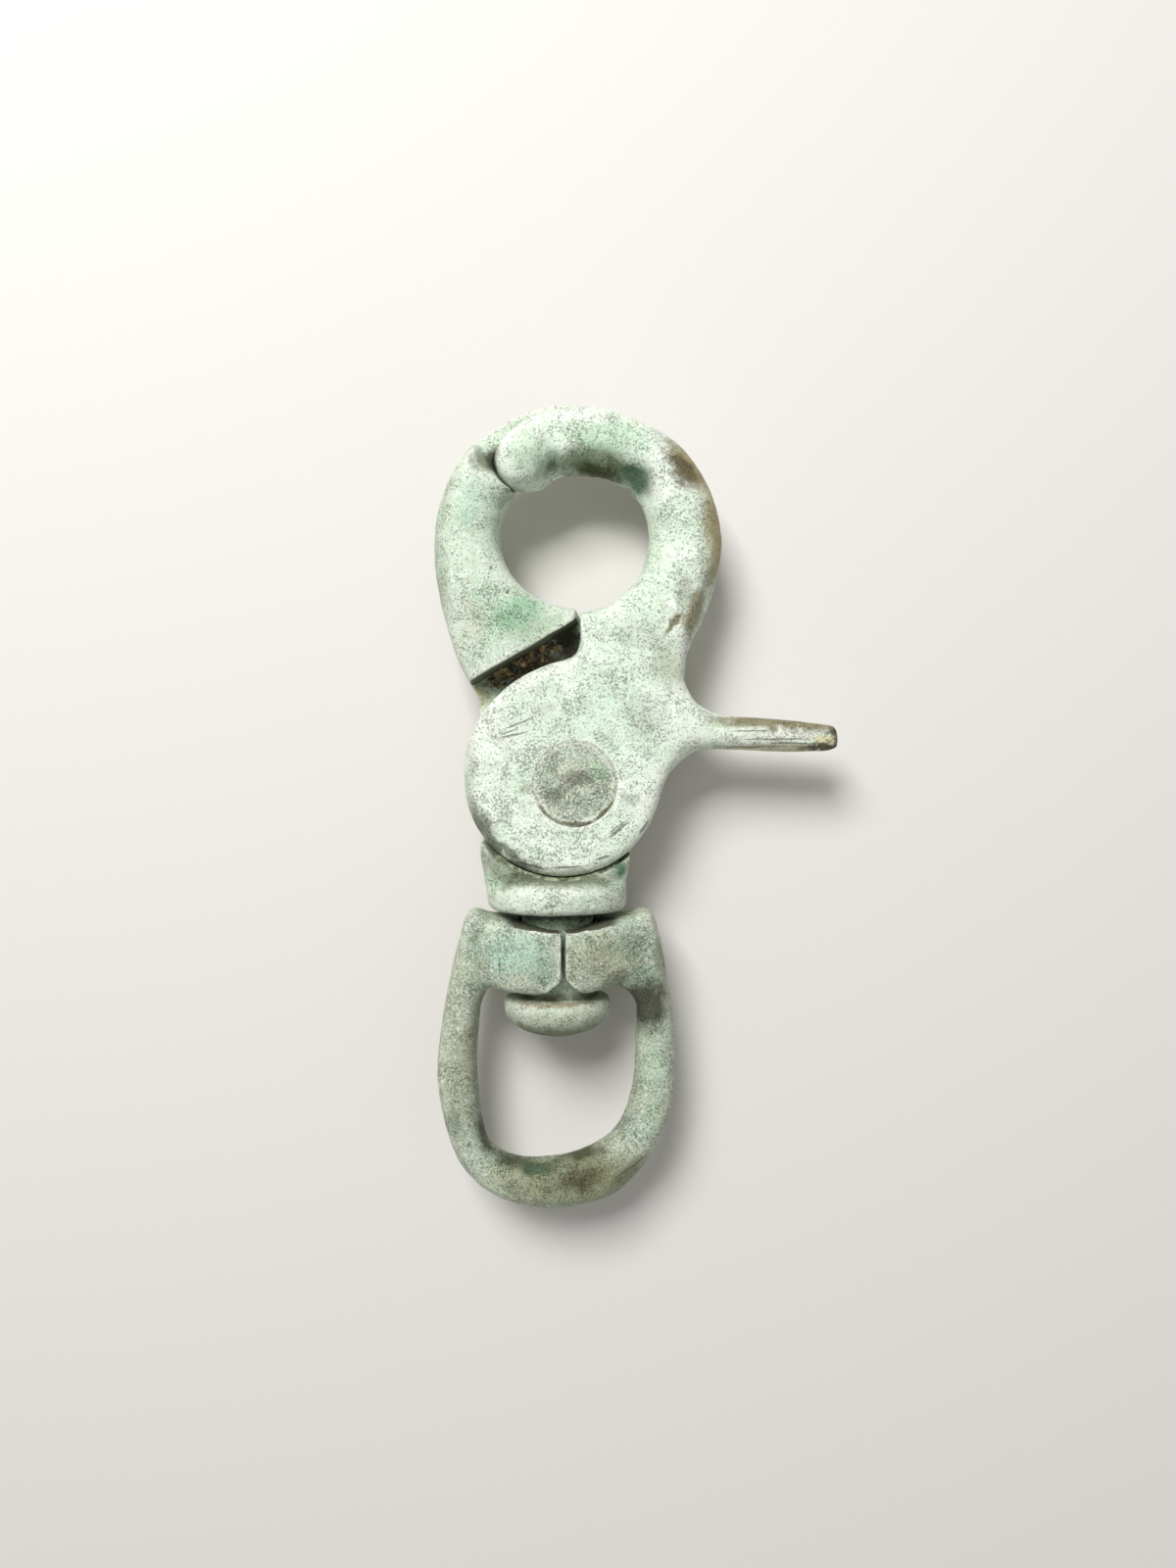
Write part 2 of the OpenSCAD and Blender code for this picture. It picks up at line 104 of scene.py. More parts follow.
class Skin:
    """The surface of one casting as points in mm, with the marks that age it."""

    def __init__(self, piece):
        self.piece = piece
        self.mesh = piece.data
        count = len(self.mesh.vertices)
        flat = np.empty(count * 3, np.float32)
        self.mesh.vertices.foreach_get("co", flat)
        self.at = flat.reshape(-1, 3).astype(float) / MM
        ends = np.empty(len(self.mesh.edges) * 2, np.int32)
        self.mesh.edges.foreach_get("vertices", ends)
        self.ends = ends.reshape(-1, 2)
        self.touching = np.bincount(ends, minlength=count)[:, None]
        self.face()

    def face(self):
        """Takes the outward directions from the mesh as it is now."""
        flat = np.empty(len(self.at) * 3, np.float32)
        self.mesh.vertices.foreach_set("co", (self.at * MM).astype(np.float32).ravel())
        self.mesh.update()
        self.mesh.vertex_normals.foreach_get("vector", flat)
        self.out = flat.reshape(-1, 3).astype(float)

    def around(self, values):
        """The mean of each point's neighbours."""
        a, b = self.ends.T
        count = len(values)
        total = [np.bincount(a, values[b, k], count) + np.bincount(b, values[a, k], count)
                 for k in range(values.shape[1])]
        return np.stack(total, 1) / self.touching

    def lumps(self, size, height, seed):
        """Soft unevenness with bumps of about that size, as poured metal has."""
        shift = Vector((seed * 7.3, seed * 3.1, seed * 5.7))
        rise = np.array([noise.noise(Vector(p) / size + shift) for p in self.at])
        self.at += self.out * (height * rise)[:, None]

    def distance(self, line):
        """Distance of every point from a line through the given points."""
        best = np.full(len(self.at), 1e9)
        for a, b in zip(line, line[1:] or line):
            a, b = np.array(a, float), np.array(b, float)
            run = b - a
            t = np.clip((self.at - a) @ run / max(run @ run, 1e-9), 0, 1)
            best = np.minimum(best, np.linalg.norm(self.at - a - t[:, None] * run, axis=1))
        return best

    def press(self, line, radius, depth):
        """A dent or groove along the line. A negative depth raises a lump or ridge."""
        share = np.clip(1 - (self.distance(line) / radius) ** 2, 0, 1) ** 2
        self.at -= self.out * (depth * share)[:, None]

    def grind(self, at, facing, reach, feather=0.5):
        """A worn flat: what stands over the plane is taken down to it, less towards the edge of the reach."""
        facing = np.array(Vector(facing).normalized())
        over = np.clip((self.at - np.array(at, float)) @ facing, 0, None)
        near = np.linalg.norm(self.at - np.array(at, float), axis=1)
        share = np.clip((reach - near) / (feather * reach), 0, 1)
        self.at -= facing * (over * share * share * (3 - 2 * share))[:, None]

    def soften(self, line, radius, passes):
        """Rounds the edges that lie near the line."""
        share = (np.clip(1 - self.distance(line) / radius, 0, 1) * 0.6)[:, None]
        for _ in range(passes):
            self.at += share * (self.around(self.at) - self.at)

    def relax(self, passes):
        """Evens out low facets and leaves the edges, where the surface turns far over a short way, so that the
        directions round about cancel each other in part."""
        self.face()
        mean = self.out
        for _ in range(8):
            mean = mean + 0.6 * (self.around(mean) - mean)
        agreed = np.linalg.norm(mean, axis=1)
        share = np.clip((agreed - 0.9) / 0.06, 0, 1)[:, None] * 0.6
        for _ in range(passes):
            self.at += share * (self.around(self.at) - self.at)
        self.face()

    def note(self, name, values):
        """Keeps a value of each point for its finish to read."""
        layer = self.mesh.attributes.get(name) or self.mesh.attributes.new(name, "FLOAT", "POINT")
        layer.data.foreach_set("value", np.clip(values, 0, 1).astype(np.float32))

    def finish(self, node):
        """Smooths the marks, keeps the piece in its CAD solid's box, and notes which points stand proud and which
        lie in a recess, from how far they are off a smoothed copy. Full is the distance in mm that counts as 1."""
        self.at += 0.5 * (self.around(self.at) - self.at)
        low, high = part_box(node)
        self.at = np.clip(self.at, np.array(low) / MM, np.array(high) / MM)
        self.face()
        for name, passes, full in (("worn", 14, 0.05), ("packed", 70, -0.16)):
            calm = self.at.copy()
            for _ in range(passes):
                calm += 0.6 * (self.around(calm) - calm)
            self.note(name, ((self.at - calm) * self.out).sum(1) / full)


def foul_and_shade(skins, walls):
    """Notes how near each point lies to another casting, because dirt gathers in the joints and on the walls that
    face them, and shade falls there too, so this is dirt and painted shade. walls are (node, line, reach, facing),
    and a wall counts where it looks within 68 degrees of facing."""
    for node, skin in skins.items():
        others = [BVHTree.FromPolygons([tuple(v) for v in other.at],
                                       [tuple(f.vertices) for f in other.mesh.polygons])
                  for name, other in skins.items() if name != node]
        gaps = [min(tree.find_nearest(tuple(v), JOINT_REACH)[3] or JOINT_REACH for tree in others) for v in skin.at]
        share = 1 - np.array(gaps) / JOINT_REACH
        for name, line, reach, facing in walls:
            if name == node:
                turned = np.clip(skin.out @ np.array(Vector(facing).normalized()) * 2.4 - 0.9, 0, 1)
                near = np.clip(2 * (1 - skin.distance(line) / reach), 0, 1)
                share = np.maximum(share, turned * near)
        skin.note("joint_dirt_and_shade", share)


def nose_ramp(bm):
    """The slope by which the hook's left arm runs down to the jaw's nose, on the thin tip. Each rib starts at the
    arm, at that radius and angle about the ring's centre, falls from top to foot, and goes down into the tip."""
    jaw_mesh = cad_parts["trigger_jaw"].data
    nose = BVHTree.FromPolygons([v.co / MM for v in jaw_mesh.vertices],
                                [tuple(f.vertices) for f in jaw_mesh.polygons])
    buried = -0.6
    ribs = []
    for radius, turned, top, foot in ((11.0, 146.4, 3.3, 2.6), (12.2, 146.4, 3.9, 2.2), (13.4, 145.4, 3.9, 1.8),
                                      (14.6, 143.4, 3.5, 1.3), (15.6, 141, 2.7, 0.8), (16.3, 138, 1.5, 0.3),
                                      (16.6, 134, 0.2, -0.1)):
        turned = math.radians(turned)
        wall = Vector((radius * math.cos(turned), radius * math.sin(turned), 1.2))
        near = nose.find_nearest(wall)[0]
        near.z = wall.z
        near += (wall - near).normalized() * NOSE_GAP
        ribs.append([(wall.x, wall.y, top), (near.x, near.y, foot),
                     (wall.x, wall.y, buried), (near.x, near.y, buried)])
    for a, b in zip(ribs, ribs[1:]):
        block = [bm.verts.new(Vector(p) * MM) for p in a + b]
        bmesh.ops.convex_hull(bm, input=block)


def sand_cast(node, grain, evened, seed, middling=0.04, fillet=None):
    """A casting before its wear: its facets evened out, and its surface uneven at three sizes, as sand leaves
    it."""
    skin = Skin(recast(node, grain, fillet))
    skin.relax(evened)
    for k, (size, height) in enumerate(((5.0, 0.08), (1.6, middling), (0.7, 0.025))):
        skin.lumps(size, height, seed + k)
    return skin


# The hook: a few pits, a hollow in the arm, and edges that run softly into the beak, the seat and the collar
hook = sand_cast("hook_body", 0.225, 30, 1, fillet=nose_ramp)
for spot in ((-9.8, -4.5, 4.1), (-8.2, -7.3, 4.3), (-11.6, -9.6, 4.3), (-13.9, 3.4, 3.6)):
    hook.press([spot], 0.45, 0.1)
hook.press([(-14.6, -9, 3.2), (-13, -14.5, 3.4)], 1.6, 0.1)
hook.press([(0.5, -60.2, 2.5)], 1.2, 0.1)
hook.soften([(0.4, -9.7, 4.5), (0.4, -9.7, -1)], 2.2, 45)
hook.soften([(-12.2, 10.4, 0.6), (-11.6, 9.6, 2.4), (-10.8, 8.2, 3), (-9.6, 6.9, 3.4)], 2.2, 50)
hook.soften([(-9.6, -41.6, 4.4), (5.4, -41.6, 4.4)], 1.3, 25)
hook.soften([(-10.4, -37.4, 4), (-8, -40.6, 4.6), (-5, -41.4, 4.8)], 1.8, 40)
hook.soften([(6.4, -37.4, 4), (4, -40.6, 4.6), (1.2, -41.4, 4.8)], 1.8, 40)
hook.finish("hook_body")

# The jaw: the hollow at the root of its nose, the lever's worn flats, ripples and dented end, a scratch and a scuff
jaw = sand_cast("trigger_jaw", 0.2, 30, 4)
jaw.press([(-2.4, 12, 3.4), (-3.0, 9.6, 4.1), (-2.8, 7.4, 3.6), (-3.4, 5.8, 2)], 2.2, 0.5)
jaw.press([(-1.6, 7.0, 2.2), (1.6, 7.6, 3.0), (4.8, 7.4, 3.1), (7.6, 5.4, 2.6)], 3.7, 0.8)
jaw.press([(-7.3, 7.2, 2.2)], 0.6, 0.15)
jaw.grind((15.1, -9.2, 2.6), (0.86, -0.2, 0.47), 6)
jaw.press([(14.9, -6.9, 3.2), (12.9, -11.8, 4.1)], 0.55, -0.12)
jaw.press([(12.9, -9.6, 4.2), (11.2, -12.2, 4.4)], 0.5, 0.14)
jaw.press([(15.7, -10.8, 0.6)], 0.8, -0.25)
jaw.grind((25, -22.9, 2.5), (0, 0.8, 0.6), 9.5, 0.3)
jaw.grind((25, -25.7, 2.5), (0, -0.75, 0.66), 9.5, 0.3)
for spot, depth in (((32, -23.2, 2.2), 0.3), ((32, -25.3, 2.6), 0.2), ((31.9, -26.3, 0.8), 0.35)):
    jaw.press([spot], 0.9, depth)
for k in range(14):
    jaw.press([(17.5 + 1.05 * k, -24.3 + 0.6 * math.sin(3.1 * k), 3.3)], 0.7, 0.12 * math.sin(5.3 * k))
jaw.press([(3.6, -37, 4.6), (7, -34.3, 4.6)], 0.45, 0.08)
jaw.press([(-10.6, -35.4, 3.7), (-8.6, -37.9, 4)], 1.3, 0.16)
jaw.finish("trigger_jaw")

# The rivet: hammer marks in its head, and an edge that is rubbed all the way round
rivet = Skin(recast("pivot_rivet", 0.13))
for spot, radius, depth in (((0.4, -29.6, 4.7), 2.2, 0.12), ((-2.2, -31.6, 4.7), 1.6, 0.1),
                            ((2.3, -31.8, 4.7), 1.3, 0.08), ((1.9, -28, 4.7), 1.2, 0.07),
                            ((-1.4, -28.4, 4.7), 1.3, -0.05)):
    rivet.press([spot], radius, depth)
rivet.finish("pivot_rivet")
across = np.hypot(rivet.at[:, 0], rivet.at[:, 1] - PIVOT_Y)
rivet.note("worn", np.clip(1 - np.abs(across - 4.62) / 0.4, 0, 1) * 2)

# The eye: two flats worn by a strap, pits in its barrel, and its lower bend rounded
eye = sand_cast("swivel_eye", 0.18, 50, 7, middling=0.05)
eye.grind((7.6, -76.2, 2.0), (0.5, -0.5, 0.7), 7.5, 0.7)
eye.grind((-8.2, -74, 1.9), (0.6, 0.62, 0.55), 7, 0.6)
eye.press([(1.4, -78.2, 3.4), (4, -77.4, 3.3)], 2.2, 0.3)
for spot, radius, depth in (((1.9, -48.5, 7.6), 0.9, 0.2), ((-2.7, -48.6, 7.7), 0.8, 0.16),
                            ((4.4, -49.6, 6.8), 1.6, 0.16), ((-12.75, -73.6, 2.6), 0.4, 0.3),
                            ((6.4, -74.4, 3), 0.45, 0.16), ((7.9, -68.7, 2.8), 0.4, 0.16)):
    eye.press([spot], radius, depth)
eye.press([(-8.8, -50, 5.6), (-8.8, -53, 5.4)], 0.45, 0.1)
eye.soften([(-12, -71.5, 2), (-9, -75, 2.4), (-4.5, -77, 2.8)], 3.2, 60)
eye.soften([(3, -79, 1.8), (6.5, -77.5, 2), (11, -73, 2)], 3.2, 60)
eye.finish("swivel_eye")

# Dirt and painted shade near the other castings, on the hook's shoulder wall and on the eye's barrel end that faces
# the collar
foul_and_shade({"hook_body": hook, "trigger_jaw": jaw, "swivel_eye": eye}, [
    ("hook_body", [(-13.4, -21.4, 1.6), (0.4, -12.6, 1.6)], 5.5, (0.5, -0.87, 0)),
    ("swivel_eye", [(-3, -46.3, 4), (0, -46.3, 4)], 8, (0, 1, 0)),
])


def crumbs():
    """Dirt and rust scale packed along the foot of the shoulder's wall, which is straight, leans 30 degrees and
    passes the rivet's axis wall_reach mm away. All of it stays outside disc_reach, which the jaw's disc sweeps."""
    lean, wall_reach, disc_reach = math.radians(30), 16.9, 14.4
    first_x, run, bed = -2.2, 8.6, -0.15
    drawn = random.Random(5)
    bm = bmesh.new()
    for _ in range(150):
        along = drawn.uniform(0, 1) ** 0.8
        below = drawn.uniform(0.1, 2.1)
        size = drawn.uniform(0.14, 0.6) * (1 if below < 1.2 else 0.6)
        x = first_x - run * along + below * 0.5
        y = PIVOT_Y + (wall_reach - below + x * 0.5) / math.cos(lean)
        if math.hypot(x, y - PIVOT_Y) < disc_reach + size:
            continue
        turn = Matrix.Rotation(drawn.uniform(0, 6.3), 4, Vector([drawn.gauss(0, 1) for _ in range(3)]))
        shape = Matrix.Diagonal((1, drawn.uniform(0.5, 0.9), drawn.uniform(0.3, 0.5), 1))
        lies = Matrix.Translation((x, y, bed + 0.2 * size)) @ turn @ shape
        for v in bmesh.ops.create_icosphere(bm, subdivisions=2, radius=size, matrix=lies)["verts"]:
            v.co += Vector((noise.noise(v.co * 3), noise.noise(v.co * 3 + Vector((9, 0, 0))), 0)) * size * 0.5
    bmesh.ops.scale(bm, vec=(MM, MM, MM), verts=bm.verts)
    return place(bm, "gap_dirt")


def rivet_seam():
    """The patina that closes the seam round the rivet's head, a thin uneven bead."""
    middle = Vector((0, PIVOT_Y, 4.42))
    head_radius, bead_radius = 4.97, 0.13
    bm = bmesh.new()
    stands = Matrix.Translation(middle + Vector((head_radius, 0, 0))) @ Matrix.Rotation(math.radians(90), 4, "X")
    bmesh.ops.create_circle(bm, segments=10, radius=bead_radius, matrix=stands)
    bmesh.ops.spin(bm, geom=bm.verts[:] + bm.edges[:], cent=middle, axis=(0, 0, 1), angle=math.radians(360),
                   steps=160, use_merge=True)
    bmesh.ops.recalc_face_normals(bm, faces=bm.faces)
    for v in bm.verts:
        v.co.z += 0.05 * noise.noise(v.co * 1.3) + 0.03 * noise.noise(v.co * 4)
    bmesh.ops.scale(bm, vec=(MM, MM, MM), verts=bm.verts)
    return place(bm, "rivet_seam")


def seat_dirt():
    """Verdigris packed between the jaw's disc and its seat in the neck, just short of the disc. It starts at that
    angle, in degrees, goes on for sweep, and dies away towards both ends."""
    centre = Vector((-1.5, -29.5, 0))
    inner, outer, start, sweep = 11.96, 12.6, -134, 78
    bm = bmesh.new()
    rim = ((outer, 0), (inner, 0), (inner, 3.35), (outer, 3.95))
    bm.faces.new([bm.verts.new((centre.x + radius, centre.y, z)) for radius, z in rim])
    bmesh.ops.rotate(bm, cent=centre, matrix=Matrix.Rotation(math.radians(start), 3, "Z"), verts=bm.verts)
    bmesh.ops.spin(bm, geom=bm.faces[:], cent=centre, axis=(0, 0, 1), angle=math.radians(sweep), steps=100)
    bmesh.ops.recalc_face_normals(bm, faces=bm.faces)
    upright = [e for e in bm.edges if abs(e.verts[0].co.z - e.verts[1].co.z) > 0.2]
    bmesh.ops.subdivide_edges(bm, edges=upright, cuts=3)
    for v in bm.verts:
        if v.co.z > 2.5:
            v.co.z += 0.35 * noise.noise(v.co * 1.1) + 0.2 * noise.noise(v.co * 3.7)
            turned = math.degrees(math.atan2(v.co.y - centre.y, v.co.x - centre.x))
            v.co.z -= 1.2 * min(1, abs(turned - start - sweep / 2) / (sweep / 2)) ** 4
    bmesh.ops.scale(bm, vec=(MM, MM, MM), verts=bm.verts)
    return place(bm, "seat_dirt")


dirt = crumbs()
packing = seat_dirt()
seam = rivet_seam()
Skin(seam).note("worn", np.full(len(seam.data.vertices), 0.6))


# ---- finishes ----

def colour(code):
    """An sRGB hex colour as the linear values that a shader takes."""
    parts = [int(code[i:i + 2], 16) / 255 for i in (1, 3, 5)]
    return [c / 12.92 if c <= 0.04045 else ((c + 0.055) / 1.055) ** 2.4 for c in parts] + [1]


def add(tree, kind, inputs=None, **settings):
    """Adds a node. Each input is a value, or another node's output to link from."""
    node = tree.nodes.new("ShaderNode" + kind)
    for name, value in settings.items():
        setattr(node, name, value)
    for key, value in (inputs or {}).items():
        if isinstance(value, bpy.types.NodeSocket):
            tree.links.new(value, node.inputs[key])
        else:
            node.inputs[key].default_value = value
    return node


def blank(name):
    """A new material's tree and its shader."""
    material = bpy.data.materials.new(name)
    material.use_nodes = True
    return material, material.node_tree, material.node_tree.nodes["Principled BSDF"]


def within(tree, at, centre, half, turn):
    """1 at the middle of an ellipsoid, falling to 0 at its skin."""
    inside = add(tree, "Mapping", {"Vector": at, "Location": centre, "Rotation": (0, 0, math.radians(turn)),
                                   "Scale": half}, vector_type="TEXTURE").outputs[0]
    reach = add(tree, "VectorMath", {0: inside}, operation="LENGTH").outputs["Value"]
    return add(tree, "Math", {0: 1.0, 1: reach}, operation="SUBTRACT", use_clamp=True).outputs[0]


def patina(name, pale, mint, grey, specks, marks, scores=()):
    """Weathered cast bronze: a chalky carbonate skin over pitted metal, pale where it is thick, grey-green where it
    is thin, with dark grit in its pores, packed dirt in its recesses and rubbed metal on its edges.
    marks are (colour, strength, centre, half sizes, turn), scores are (start, end, width), all in mm."""
    material, tree, shader = blank(name)
    metres = add(tree, "TexCoord").outputs["Object"]
    mm = add(tree, "VectorMath", {0: metres, "Scale": 1 / MM}, operation="SCALE").outputs[0]

    # Noises, each with the size in mm of what it draws. Grit and bloom are really finer, about 0.1 mm, and are
    # this coarse so that they show. Crowds is where the grit lies thick, and ragged is for the edges of marks.
    tints, patches, grit, bloom, flakes, crowds, ragged = [
        add(tree, "TexNoise", {"Vector": mm, "Scale": 1 / size, "Detail": detail, "Roughness": rough})
        for size, detail, rough in ((7, 4, 0.6), (2.2, 5, 0.7), (0.26, 4, 0.8), (0.24, 3, 0.75), (1.3, 5, 0.75),
                                    (3.2, 5, 0.75), (2.2, 4, 0.65))]
    worn, packed, joint_dirt_and_shade = [add(tree, "Attribute", attribute_name=layer).outputs["Fac"]
                           for layer in ("worn", "packed", "joint_dirt_and_shade")]
    height = add(tree, "SeparateXYZ", {0: mm}).outputs["Z"]
    astray = add(tree, "VectorMath", {0: ragged.outputs["Color"], 1: (0.5, 0.5, 0.5)}, operation="SUBTRACT")
    loose, tight = [add(tree, "VectorMath", {0: astray.outputs[0], 1: (by, by, by), 2: mm},
                        operation="MULTIPLY_ADD").outputs[0] for by in (3.2, 0.5)]
    crowded = add(tree, "MapRange", {"Value": crowds.outputs[0], "From Min": 0.4, "From Max": 0.66,
                                     "To Min": -0.02, "To Max": 0.07}, interpolation_type="SMOOTHSTEP").outputs[0]
    pores = add(tree, "Math", {0: grit.outputs[0], 1: crowded}, operation="ADD").outputs[0]
    pore_level = 0.6 - 0.06 * specks

    # Coats from the lowest up: what says where it lies, the values at which it starts and is full, its strength,
    # its colour, how it mixes, and how far it stands up
    coats = [(tints.outputs[0], 0.42, 0.62, 1.0, mint, "MIX", 0),
             (patches.outputs[0], 0.46, 0.7, 0.7, grey, "MIX", 0),
             (bloom.outputs[0], 0.5, 0.62, 0.6, "#FBFFF8", "MIX", 0),
             (flakes.outputs[0], 0.57, 0.6, 0.5, "#F6F9EE", "MIX", 0.5),
             (worn, 0.0, 1.0, 0.5, "#F2F4E6", "MIX", 0)]
    coats += [(within(tree, loose, centre, half, turn), 0.0, 0.6, strength, code, "MIX", 0)
              for code, strength, centre, half, turn in marks]
    coats += [(pores, pore_level - 0.03, pore_level + 0.07, 0.68, "#6A735D", "MULTIPLY", -0.5),
              (packed, 0.15, 1.0, 0.6, "#6A6A50", "MULTIPLY", 0),
              # Near another casting and on the walls that face one: dirt and painted shade
              (joint_dirt_and_shade, 0.58, 0.9, 0.9, "#3E3D2A", "MIX", 0),
              (height, -0.5, -4.5, 0.45, "#8E8263", "MIX", 0)]
    if scores:
        cut = 0.0
        for start, end, width in scores:
            run = Vector(end) - Vector(start)
            line = within(tree, tight, Vector(start) + run / 2, (run.length / 2, width, 2.0),
                          math.degrees(math.atan2(run.y, run.x)))
            cut = add(tree, "Math", {0: cut, 1: line}, operation="MAXIMUM").outputs[0]
        coats.append((cut, 0.05, 0.5, 0.65, "#4C5346", "MIX", -1.2))

    base, rise = colour(pale), bloom.outputs[0]
    for lies, starts, full, strength, code, mode, relief in coats:
        edge = add(tree, "MapRange", {"Value": lies, "From Min": starts, "From Max": full},
                   interpolation_type="LINEAR" if lies == worn else "SMOOTHSTEP").outputs[0]
        share = add(tree, "Math", {0: edge, 1: strength}, operation="MULTIPLY").outputs[0]
        base = add(tree, "Mix", {0: share, 6: base, 7: colour(code)}, data_type="RGBA",
                   blend_type=mode).outputs[2]
        if relief:
            rise = add(tree, "Math", {0: edge, 1: relief, 2: rise}, operation="MULTIPLY_ADD").outputs[0]
    tree.links.new(base, shader.inputs["Base Color"])

    bump = add(tree, "Bump", {"Height": rise, "Distance": 0.07 * MM, "Strength": 1.0})
    tree.links.new(bump.outputs[0], shader.inputs["Normal"])
    matt = add(tree, "MapRange", {"Value": patches.outputs[0], "From Min": 0.3, "From Max": 0.7, "To Min": 0.5,
                                  "To Max": 0.72}, interpolation_type="SMOOTHSTEP")
    tree.links.new(matt.outputs[0], shader.inputs["Roughness"])
    shader.inputs["Specular IOR Level"].default_value = 0.3
    return material


# The hook: pale grey-green, with near-black dirt and painted shadow on its shoulder's wall and in the gap, painted
# shade in the seat of the jaw's nose, a painted shadow band along the collar's top, a head painted darker towards
# its foot, and a dull, darker neck and collar
hook_finish = patina("weathered_bronze_hook", "#D0E2CA", "#B8D5B4", "#AAB49B", specks=0.35, marks=[
    ("#86B88F", 0.65, (-6.6, -10, 4.2), (4, 3, 3), 20),
    ("#9DB795", 0.5, (-4, -11.5, 4.4), (4.6, 1.6, 2), 30),
    ("#A6CDB0", 0.45, (-12.6, 3, 3.2), (2.4, 5, 3), 0),
    ("#D2D2BE", 0.5, (-12.4, -10.6, 4), (1.8, 4, 3), 14),
    ("#7F8770", 0.45, (-15.9, -6, 1.4), (1.9, 7, 4.4), 6),
    ("#8C947E", 0.3, (-15.4, 3.6, 1.2), (1.6, 6, 4), -6),
    ("#3B4136", 0.85, (-2.2, -46, 2), (6, 0.8, 5), 0),
    ("#4E583A", 0.65, (-8.4, -39.9, 4.2), (4.8, 3, 4.4), -20),
    ("#CFCBA4", 0.8, (-11.9, -19.2, 0), (2, 2.2, 1.6), 0),
    # Painted shade in the seat where the arm runs down to the jaw's nose
    ("#6C725A", 0.75, (-10.9, 8.6, 2.6), (2, 3, 3.6), -30),
    ("#3A3C2C", 0.8, (-10.0, 9.2, 0.6), (1.5, 3.4, 3), -24),
    # Painted shadow band under the jaw's disc, along the collar's top
    ("#4E4A26", 0.7, (-1.4, -41.5, 4.6), (9.6, 1.7, 4.4), 0),
    ("#2C5C38", 0.9, (5.4, -40.3, 4.8), (2.4, 1.7, 3), 10),
    ("#7FA08C", 0.6, (-4.6, -42.4, 8.4), (0.9, 0.5, 1.2), 0),
    ("#8C9C8A", 0.6, (-2.8, -44, 8.3), (0.8, 0.6, 1.2), 40),
    ("#A0927A", 0.85, (-2, -56.1, 4), (6.8, 0.8, 6), 0),
    # The head painted darker towards its lower side, as painted shade
    ("#9CA280", 0.65, (-2, -58.4, 3), (8, 4, 6), 0),
    ("#4C563A", 0.8, (-2, -61, 1.6), (8, 4.6, 6), 0),
    # Dirt and rust in the gap below the shoulder, darkened further as painted shadow from the shoulder's wall
    ("#33261A", 0.97, (-4.6, -16.4, 0.4), (7.0, 2.7, 4.3), 30),
    ("#2A2016", 0.95, (-0.9, -12.6, 0.2), (2.2, 4, 4.1), 30),
], scores=[((-8.2, -7.6, 4.3), (-7.8, -6.9, 4.3), 0.3), ((-10, -4.7, 4.1), (-9.8, -4.2, 4.1), 0.25)])
